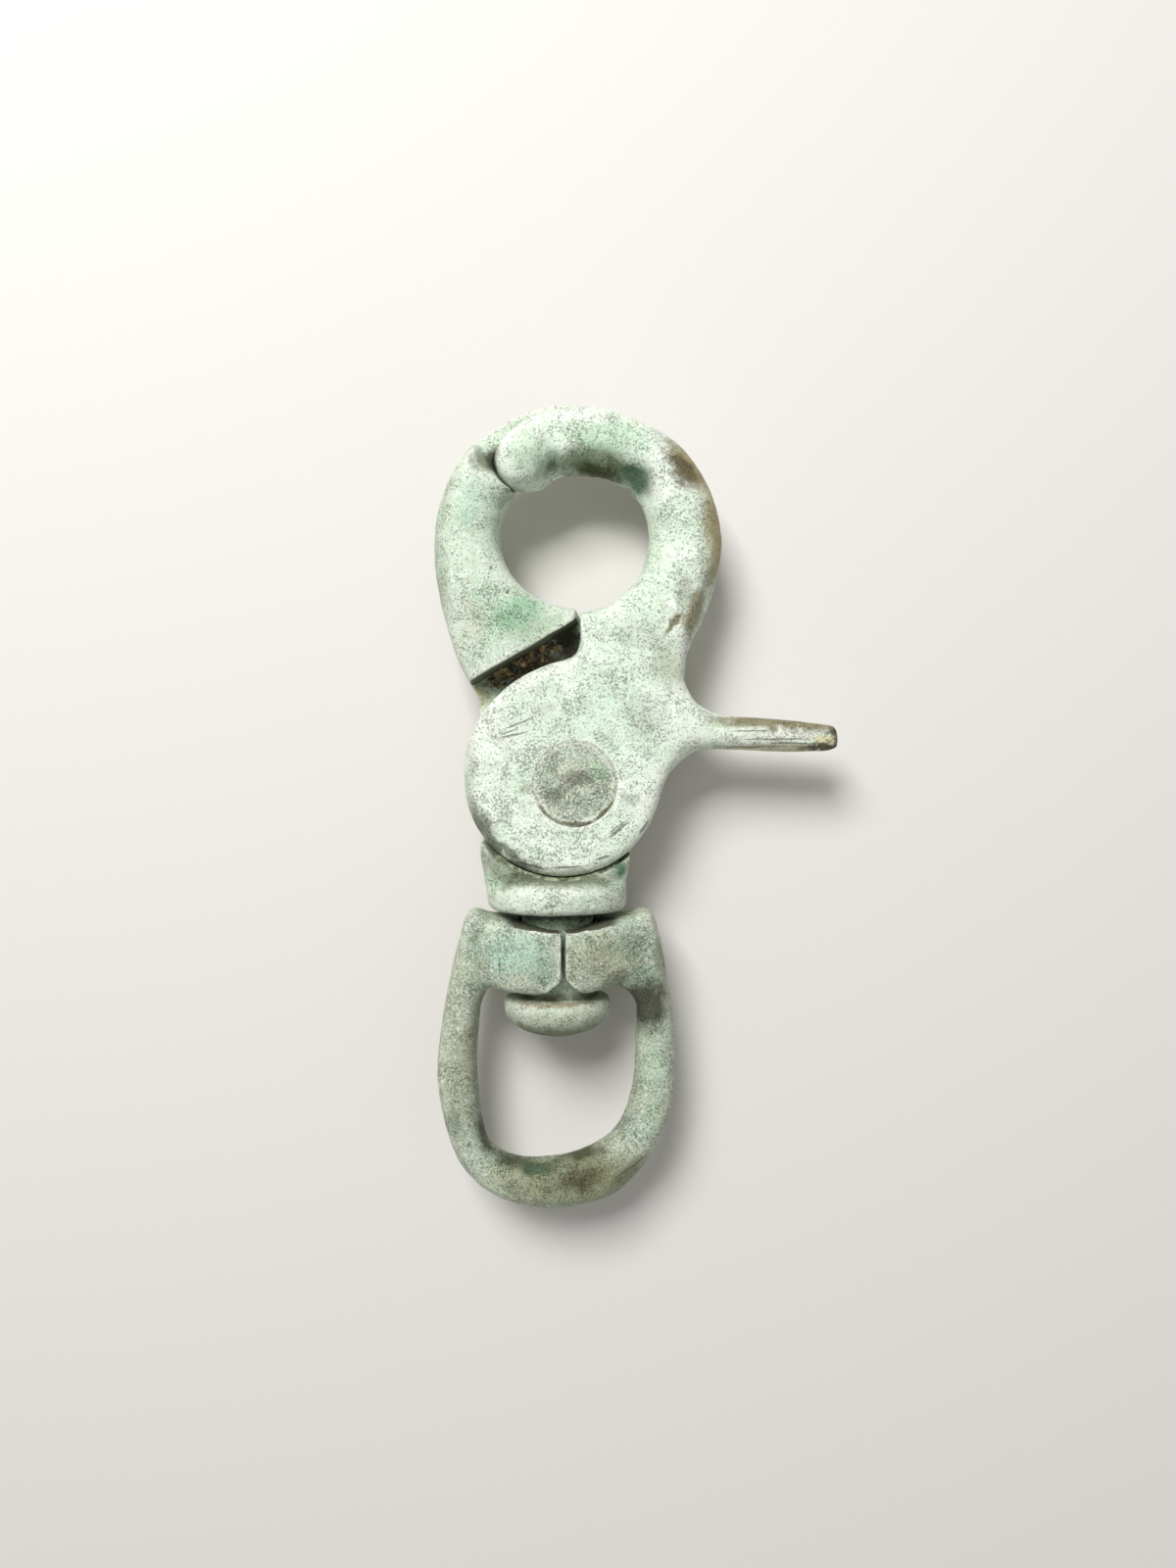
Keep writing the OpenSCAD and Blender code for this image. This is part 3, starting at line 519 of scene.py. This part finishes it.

# The jaw: the palest casting, dark green in the hollow of its nose with painted shade there too, painted shade on
# the nose's end and along the disc's lower bevel, brassy where the arm and the lever are rubbed, with a painted
# shade core on the arm and a partly painted highlight on the lever's crest, and scratched over its plate and along
# the lever
jaw_finish = patina("weathered_bronze_jaw", "#F0FAEC", "#DAF0D6", "#C4CEB6", specks=0.45, marks=[
    # The nose's hollow: olive and green patina, darkened further as painted shade on its down-facing slope
    ("#66753F", 0.75, (2.6, 7.8, 2.4), (7, 3.2, 4), -6),
    ("#34390F", 0.92, (3.0, 7.4, 2.2), (4.6, 1.9, 3.4), -8),
    ("#2A5B42", 0.8, (7.2, 6.4, 2.6), (3.2, 2.8, 3.6), 40),
    ("#9CCBA0", 0.4, (4, 11, 4), (7, 2.6, 3), -8),
    ("#A9C9A4", 0.5, (-5.6, 9.6, 3), (3.4, 3.4, 3.6), 0),
    ("#84A684", 0.6, (-2.6, 8.2, 3.2), (1.2, 2.6, 2.4), 10),
    ("#9BB598", 0.4, (-5.4, 8.4, 3.4), (2.4, 2.6, 3), 0),
    ("#8A7840", 0.85, (13.6, 7.8, 2.8), (5, 2.7, 4.8), -50),
    # Brown rubbed metal on the right arm's top right, its darker core painted shade
    ("#443716", 0.75, (12.8, 7.2, 3.4), (3.8, 2, 3.4), -50),
    ("#8C7634", 0.8, (16.7, 0.2, 1.2), (3, 9, 5.4), 0),
    ("#9A9C7C", 0.5, (10.6, -15.6, 2.4), (3, 5, 4), 20),
    # Painted shade at the end of the nose, in the seat's wedge
    ("#565842", 0.7, (-9.6, 9.2, 0.6), (1.4, 2.8, 3), -30),
    ("#A9A98A", 0.5, (12.6, 10.8, 2.6), (3, 2, 4), -42),
    ("#7A6E48", 0.8, (14.4, -9.6, 3.4), (4.6, 1.6, 3), 68),
    ("#7A6A3E", 0.8, (11.8, -11, 4.2), (3, 0.6, 2), 54),
    ("#9A9C84", 0.5, (12.9, -6.8, 3.8), (3, 1.6, 2.5), 100),
    ("#B2BDA8", 0.4, (7.6, -12.5, 4.4), (3.4, 2.6, 3), 0),
    ("#A3AB9E", 0.5, (6.6, -31.9, 4.5), (2, 0.9, 1.5), -10),
    ("#A8B0A4", 0.45, (8.7, -26.8, 4.5), (1.4, 1.2, 1.5), 0),
    # Painted shade along the disc's lower-left bevel
    ("#4A5036", 0.8, (-10.9, -35.3, 3.2), (5.2, 1.6, 3), -60),
    ("#4E543E", 0.75, (-7.5, -38.7, 3.2), (4.8, 1.0, 3), -38),
    ("#A89880", 0.5, (-3.4, -21.3, 4.5), (1.6, 1.2, 1.5), 20),
    ("#9C957C", 0.55, (-5.8, -30.8, 4.5), (1, 0.8, 1), 0),
    ("#9CA48F", 0.45, (-12.4, -29, 3.6), (1.1, 5, 2.4), 0),
    ("#B6C0AA", 0.45, (8.2, -22, 4.5), (3.4, 3.4, 2), 0),
    ("#DCEBD6", 0.6, (-4.5, -22.5, 4.5), (6, 4, 2), 10),
    # Painted shade along the disc's lower bevel above the neck
    ("#7C7F74", 0.55, (-3, -40.2, 3.2), (7, 0.7, 2), -6),
    ("#77683C", 0.85, (25, -22.8, 2), (12.6, 1.5, 3.2), -1),
    ("#D6CC9C", 0.6, (24.6, -26.2, 1.4), (12, 1.1, 2.8), 0),
    # Pale crust along the lever's crest, partly a painted highlight
    ("#ECEBDD", 0.7, (25, -24.3, 3.2), (8, 0.9, 1.4), 0),
    ("#5C4A1E", 0.9, (32.2, -24.7, 1.4), (2.2, 3.4, 3.8), 0),
    ("#3A3012", 0.9, (31.9, -23.9, 2.0), (2.4, 0.9, 2.4), 0),
    ("#3A3012", 0.9, (29.8, -25.9, 1.8), (4, 0.7, 2.4), 0),
    ("#EADFA8", 0.8, (30.4, -25.1, 3.1), (1.8, 1, 1.4), 0),
], scores=[
    ((-8.8, -23.9, 4.5), (-4.5, -22.1, 4.5), 0.14), ((-9.5, -24.9, 4.5), (-5.1, -23.9, 4.5), 0.14),
    ((-9, -24.5, 4.5), (-6.5, -23.5, 4.5), 0.1), ((3.6, -37, 4.6), (7, -34.3, 4.6), 0.24),
    ((3.9, -36.2, 4.6), (6.6, -34.2, 4.6), 0.12), ((-7.4, -39.4, 4), (-3, -40.5, 3.6), 0.24),
    ((-3.4, -40.3, 3.6), (1.8, -40, 3.7), 0.2), ((2.2, -39.3, 4), (4.6, -38.7, 4), 0.22),
    ((-1.2, 14.6, 2), (3.4, 14.2, 2), 0.2), ((7.6, -36.4, 4), (9, -34.2, 3.9), 0.2),
    ((19, -24.9, 3.3), (29, -24.8, 3.3), 0.16), ((15.5, -25.8, 2.8), (27, -25.7, 2.6), 0.1),
    ((22, -25.3, 3), (31, -25.4, 2.8), 0.12), ((18, -23.9, 3.3), (24, -23.8, 3.2), 0.1),
])

# The rivet's head: hammered, so mottled and full of dark specks, with a painted shadow line along its lower edge
rivet_finish = patina("peened_bronze", "#C5CDB4", "#A9BBA0", "#8D9180", specks=0.9, marks=[
    ("#7E7E6C", 0.7, (0.2, -29.8, 4.7), (2.4, 2, 1), 20),
    ("#6F7A66", 0.6, (-2.4, -31.4, 4.7), (1.6, 1.2, 1), 50),
    ("#DCE4CC", 0.6, (1.2, -30.9, 4.7), (1.6, 0.5, 1), 5),
    ("#9BC79B", 0.5, (2.6, -29, 4.7), (1.4, 1.8, 1), 0),
    ("#E2E8D2", 0.5, (-0.6, -33.2, 4.7), (2.6, 0.8, 1), 0),
    # Painted shadow line along the head's lower edge
    ("#67663E", 0.8, (0.2, -35.1, 4.5), (3.6, 0.6, 1), 0),
    ("#67663E", 0.8, (3.5, -33.7, 4.5), (2.8, 0.6, 1), 45),
    ("#77764E", 0.75, (-3.5, -33.7, 4.5), (2.6, 0.5, 1), -45),
])

# The eye: the darkest casting, olive and brown where a strap has rubbed it, with painted shade along the inner side
# of its lower bend and a painted shadow under the barrel's right corner, pale green on its outer sides
eye_finish = patina("weathered_bronze_eye", "#A6B292", "#8FA88B", "#7A7F62", specks=0.6, marks=[
    # Painted shadow on the right bar's inner side, under the barrel's corner
    ("#2C2E18", 0.9, (8.5, -56.4, 2.2), (3.6, 5.2, 5), 8),
    ("#74744A", 0.7, (0.5, -77.8, 2), (14, 4.8, 5), 0),
    # Painted shade along the inner side of the lower bend
    ("#3C3E20", 0.85, (-8.9, -74, 1.2), (6.4, 2.4, 3.8), -42),
    ("#3E4024", 0.85, (-1.2, -75.2, 1), (6.4, 1.3, 3.2), 3),
    ("#2F5440", 0.65, (-5, -76.4, 2.4), (3.8, 1.3, 2.4), -12),
    ("#5E5A3E", 0.8, (0.8, -77.7, 2.8), (3.8, 2, 2.6), 14),
    ("#C6DABE", 0.5, (9.4, -65, 2.8), (2, 8, 3), 0),
    ("#C6DABF", 0.5, (-9.2, -80, 2), (4, 2, 3), -25),
    ("#9AA487", 0.6, (5, -80, 1.6), (5, 1.6, 3), 22),
    ("#6C6B4C", 0.35, (-12.2, -58, 2.4), (1.6, 7, 3), -4),
    ("#8A8C6C", 0.35, (-13.4, -66, 1.6), (2.8, 11, 4), 0),
    ("#5F6E5A", 0.55, (-14.6, -70.6, 1.8), (1.3, 3, 3), 10),
    ("#7C9C84", 0.45, (-3.8, -51.8, 7.8), (2, 2.8, 3), 10),
    ("#C0E6D2", 0.42, (-7.4, -49.6, 6.4), (5, 3.6, 5), 0),
    ("#A4A684", 0.4, (3.6, -50.4, 6.8), (4.6, 3.6, 4), 0),
    ("#6E6A4E", 0.5, (5.0, -52.8, 6.4), (2.8, 0.8, 3), 20),
    ("#7C8468", 0.55, (11, -51, 3), (2.6, 3.6, 5), 0),
    ("#7E7354", 0.7, (-10.9, -56.6, 1.2), (0.8, 2, 2), 0),
], scores=[((-8.8, -50, 5.8), (-8.8, -53, 5.6), 0.14), ((-13, -73.4, 2.8), (-12.4, -73.8, 2.8), 0.4),
           ((3, -79.1, 1.6), (9.6, -74.5, 1.2), 0.25)])

# Dry earth and rust scale, loose and matt: clods of about 1.4 mm go from dark brown to a sandy tan.
# Verdigris packed to a paste, matt: olive with greyer, paler crumbs of about 0.7 mm.
loose_finishes = []
for name, grain, detail, rough, dark, starts, light, ends, matt in (
        ("dirt_and_rust_scale", 1.4286, 4.0, 0.7, "#2A2015", 0.45, "#C8AC7C", 0.66, 0.9),
        ("packed_verdigris", 0.71429, 3.0, 0.5, "#575A43", 0.38, "#A6AC90", 0.64, 0.85)):
    finish, tree, shader = blank(name)
    clods = add(tree, "TexNoise", {"Vector": add(tree, "TexCoord").outputs["Object"], "Scale": 1 / (grain * MM),
                                   "Detail": detail, "Roughness": rough})
    tint = add(tree, "ValToRGB", {0: clods.outputs[0]})
    for stop, code, at in zip(tint.color_ramp.elements, (dark, light), (starts, ends)):
        stop.color, stop.position = colour(code), at
    tree.links.new(tint.outputs[0], shader.inputs["Base Color"])
    shader.inputs["Roughness"].default_value = matt
    loose_finishes.append(finish)
dirt_finish, verdigris = loose_finishes

# Drawn spring steel wire: bare grey metal, bright and dull by turns where the die left marks about 0.4 mm long
wire_finish, tree, shader = blank("spring_steel_wire")
die_marks = add(tree, "TexNoise", {"Vector": add(tree, "TexCoord").outputs["Object"], "Scale": 1 / (0.4 * MM),
                                   "Detail": 2.0})
dull = add(tree, "MapRange", {"Value": die_marks.outputs[0], "To Min": 0.3, "To Max": 0.6})
tree.links.new(dull.outputs[0], shader.inputs["Roughness"])
shader.inputs["Base Color"].default_value = colour("#7C7D80")
shader.inputs["Metallic"].default_value = 1.0

for piece, body, node, finish in ((hook.piece, "hook", "hook_body", hook_finish),
                                  (jaw.piece, "trigger", "trigger_jaw", jaw_finish),
                                  (rivet.piece, "hook", "pivot_rivet", rivet_finish),
                                  (eye.piece, "eye", "swivel_eye", eye_finish)):
    piece.data.materials.append(finish)
    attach(piece, body)
    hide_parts(node)
for piece, finish in ((dirt, dirt_finish), (packing, verdigris), (seam, rivet_finish)):
    piece.data.materials.append(finish)
    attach(piece, "hook")
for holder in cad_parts["torsion_spring"].material_slots:
    holder.link = "OBJECT"
    holder.material = wire_finish


# ---- floor, light and camera ----

# Matt pale paper, even all over, 3 m square, at the foot of the snap
bm = bmesh.new()
bmesh.ops.create_grid(bm, x_segments=1, y_segments=1, size=1.5, matrix=Matrix.Translation((0, 0, cad_box[0].z)))
floor = place(bm, "floor")
paper, tree, shader = blank("plain_paper")
shader.inputs["Base Color"].default_value = colour("#E4E1DC")
shader.inputs["Roughness"].default_value = 0.9
floor.data.materials.append(paper)

# Two square softboxes that look at the middle of the snap: a window above its left shoulder and a faint fill
for name, at, size, watts in (("window", (-0.14, 0.26, 0.42), 0.22, 2.9), ("fill", (0.3, -0.3, 0.3), 0.5, 0.25)):
    light = bpy.data.lights.new(name, "AREA")
    light.size = size
    light.energy = watts
    lamp = bpy.data.objects.new(name, light)
    scene.collection.objects.link(lamp)
    lamp.rotation_euler = (Vector((0, -0.03, 0)) - Vector(at)).to_track_quat("-Z", "Y").to_euler()
    lamp.location = at

# A white studio, dim for the light it gives and brighter where the camera or a reflection sees it
given, shown = 0.26, 0.85
world = bpy.data.worlds.new("studio")
scene.world = world
world.use_nodes = True
tree = world.node_tree
sky = tree.nodes["Background"]
sky.inputs["Color"].default_value = colour("#FFFFFF")
rays = add(tree, "LightPath")
seen = rays.outputs["Is Camera Ray"]
for ray in ("Is Glossy Ray", "Is Transmission Ray"):
    seen = add(tree, "Math", {0: seen, 1: rays.outputs[ray]}, operation="MAXIMUM").outputs[0]
strength = add(tree, "MapRange", {"Value": seen, "To Min": given, "To Max": shown})
tree.links.new(strength.outputs[0], sky.inputs["Strength"])

# Straight above the rivet, with view_height of the snap's mid plane in the picture's height
above, view_height = 128, 193.0     # mm
camera = bpy.data.cameras.new("camera")
camera.sensor_width = 36
camera.lens = camera.sensor_width * above / view_height
camera.clip_start = 0.001
eye_point = bpy.data.objects.new("camera", camera)
eye_point.location = (0.00157, -0.0302, above * MM)
scene.collection.objects.link(eye_point)
scene.camera = eye_point
scene.view_settings.view_transform = "Standard"
